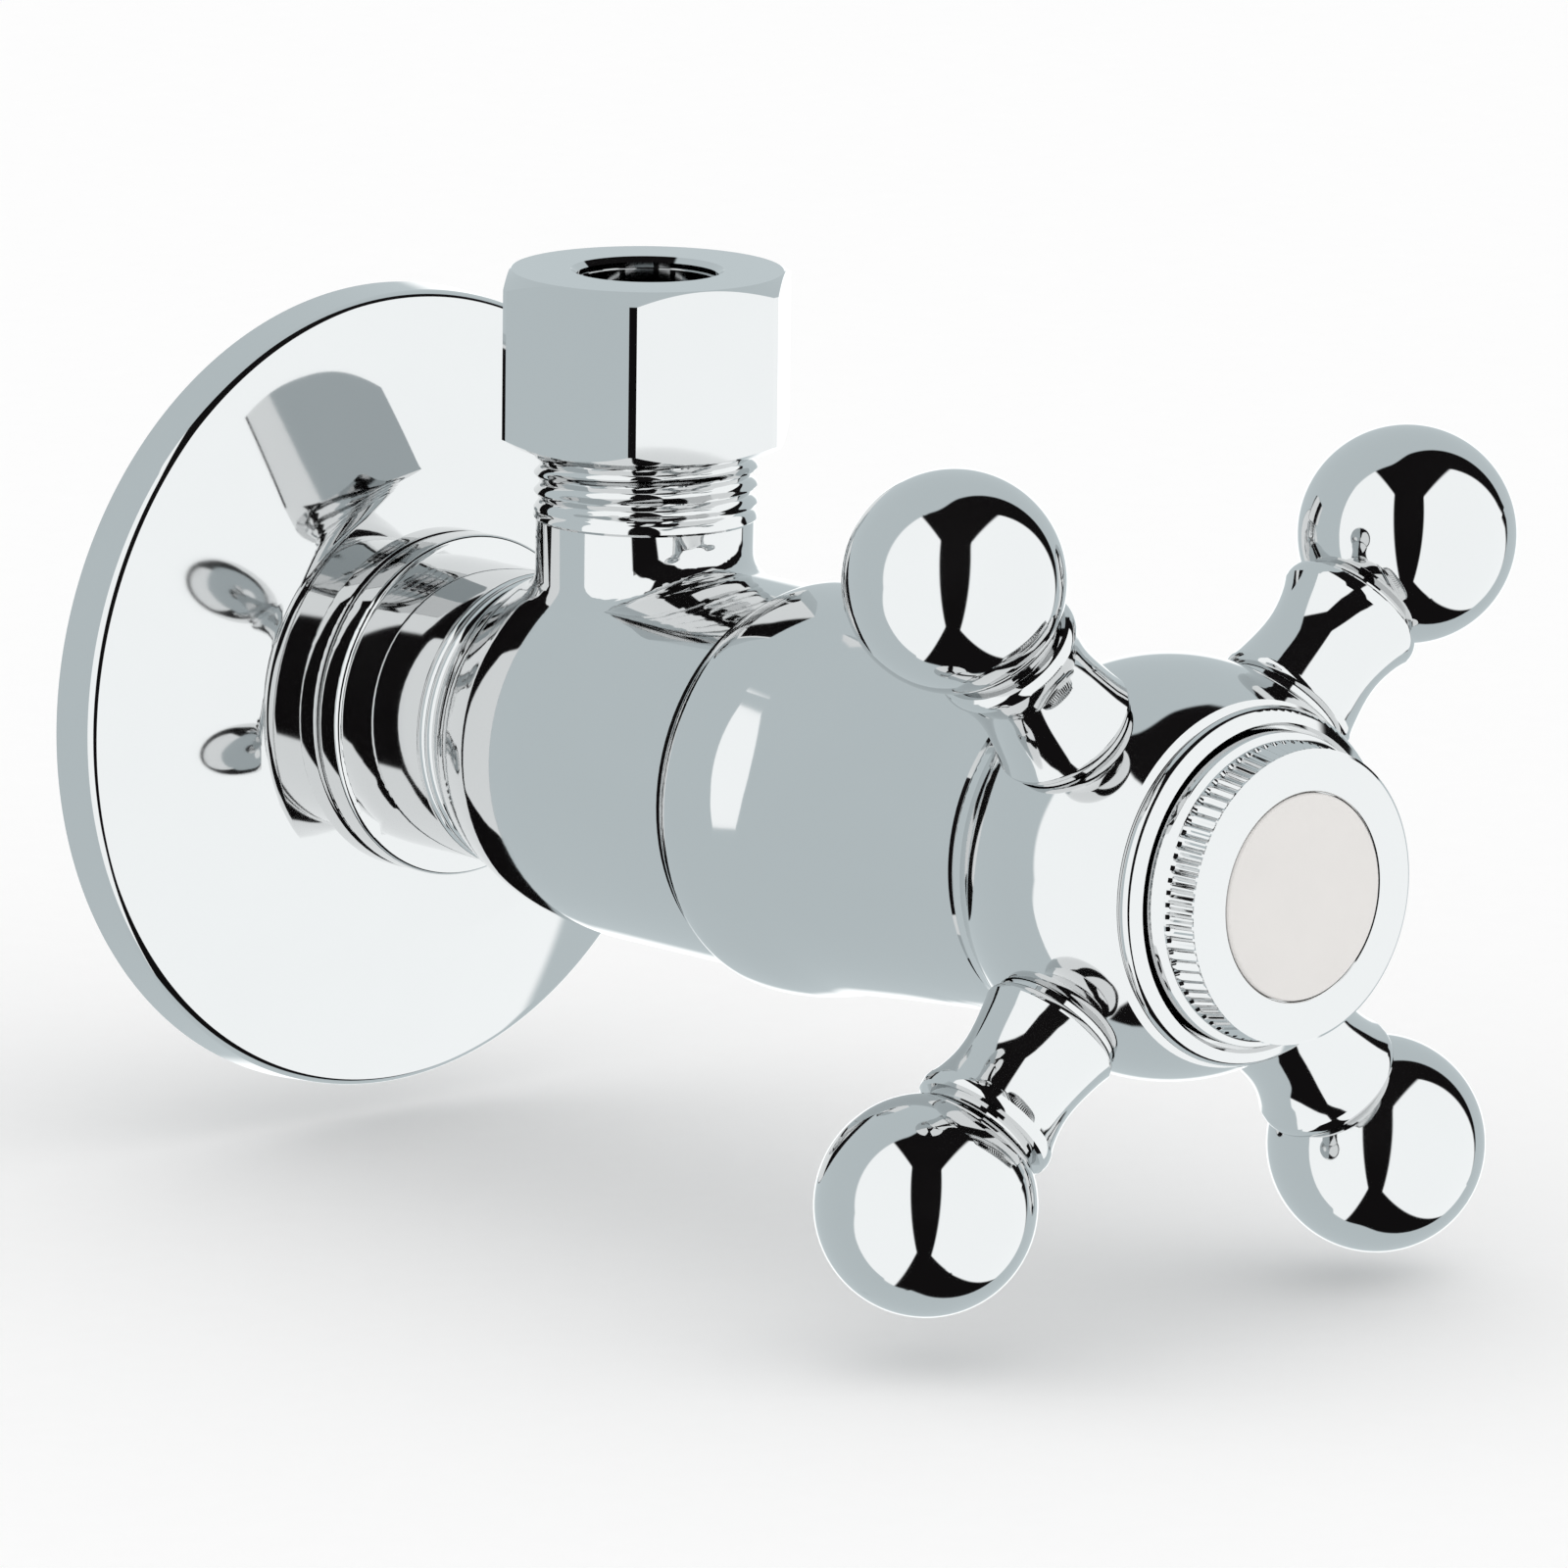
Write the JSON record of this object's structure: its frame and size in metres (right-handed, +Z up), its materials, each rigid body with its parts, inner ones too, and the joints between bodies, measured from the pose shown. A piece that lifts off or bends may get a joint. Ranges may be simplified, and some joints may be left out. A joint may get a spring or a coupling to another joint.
{
  "type": "angle valve",
  "caption": "Chromed wall-mounted angle valve with an upright compression outlet and a cross handle with ball-ended arms round a plain cream disc.",
  "frame": {"origin": "where the valve axis meets the finished wall, on the inlet thread", "axes": "+Z up along the outlet, +Y into the wall along the inlet thread, -Y towards the user and the handle, +X to the right seen from the user"},
  "size_m": [0.0632, 0.1169, 0.0676],
  "materials": {
    "chrome": "polished chrome plate on brass",
    "brass": "machined",
    "gasket": "pressed fibre",
    "seal": "smooth rubber",
    "slide_ring": "low-friction plastic",
    "spring_steel": "plain stainless",
    "disc": "plain cream, semi-gloss"
  },
  "bodies": {
    "valve": {"wall_rosette": "chrome", "valve_body": "chrome", "compression_nut": "chrome", "compression_ring": "chrome", "headwork_shell": "brass", "headwork_gasket": "gasket", "bonnet": "chrome"},
    "handle": {"spindle": "brass", "spindle_seal_inner": "seal", "spindle_seal_outer": "seal", "thrust_washer": "slide_ring", "retaining_clip": "spring_steel", "handle_hub": "chrome", "handle_insert": "brass", "handle_screw": "spring_steel", "index_cap": "chrome", "index_disc": "disc", "handle_arm_upper_right": "chrome", "handle_ball_upper_right": "chrome", "handle_arm_upper_left": "chrome", "handle_ball_upper_left": "chrome", "handle_arm_lower_left": "chrome", "handle_ball_lower_left": "chrome", "handle_arm_lower_right": "chrome", "handle_ball_lower_right": "chrome"},
    "piston": {"piston": "brass", "seat_washer": "seal", "washer_screw": "spring_steel"}
  },
  "joints": [
    {"name": "handle_turn", "type": "hinge", "parent": "valve", "child": "handle", "pos_m": [0, -0.08787, 0], "axis": [0, -1, 0], "range_deg": [0, 900]},
    {"name": "piston_lift", "type": "slide", "parent": "valve", "child": "piston", "axis": [0, -1, 0], "range_m": [0, 0.005]}
  ],
  "couplings": [
    {"joint": "piston_lift", "follows": "handle_turn", "m_per_rad": 0.0003183}
  ]
}
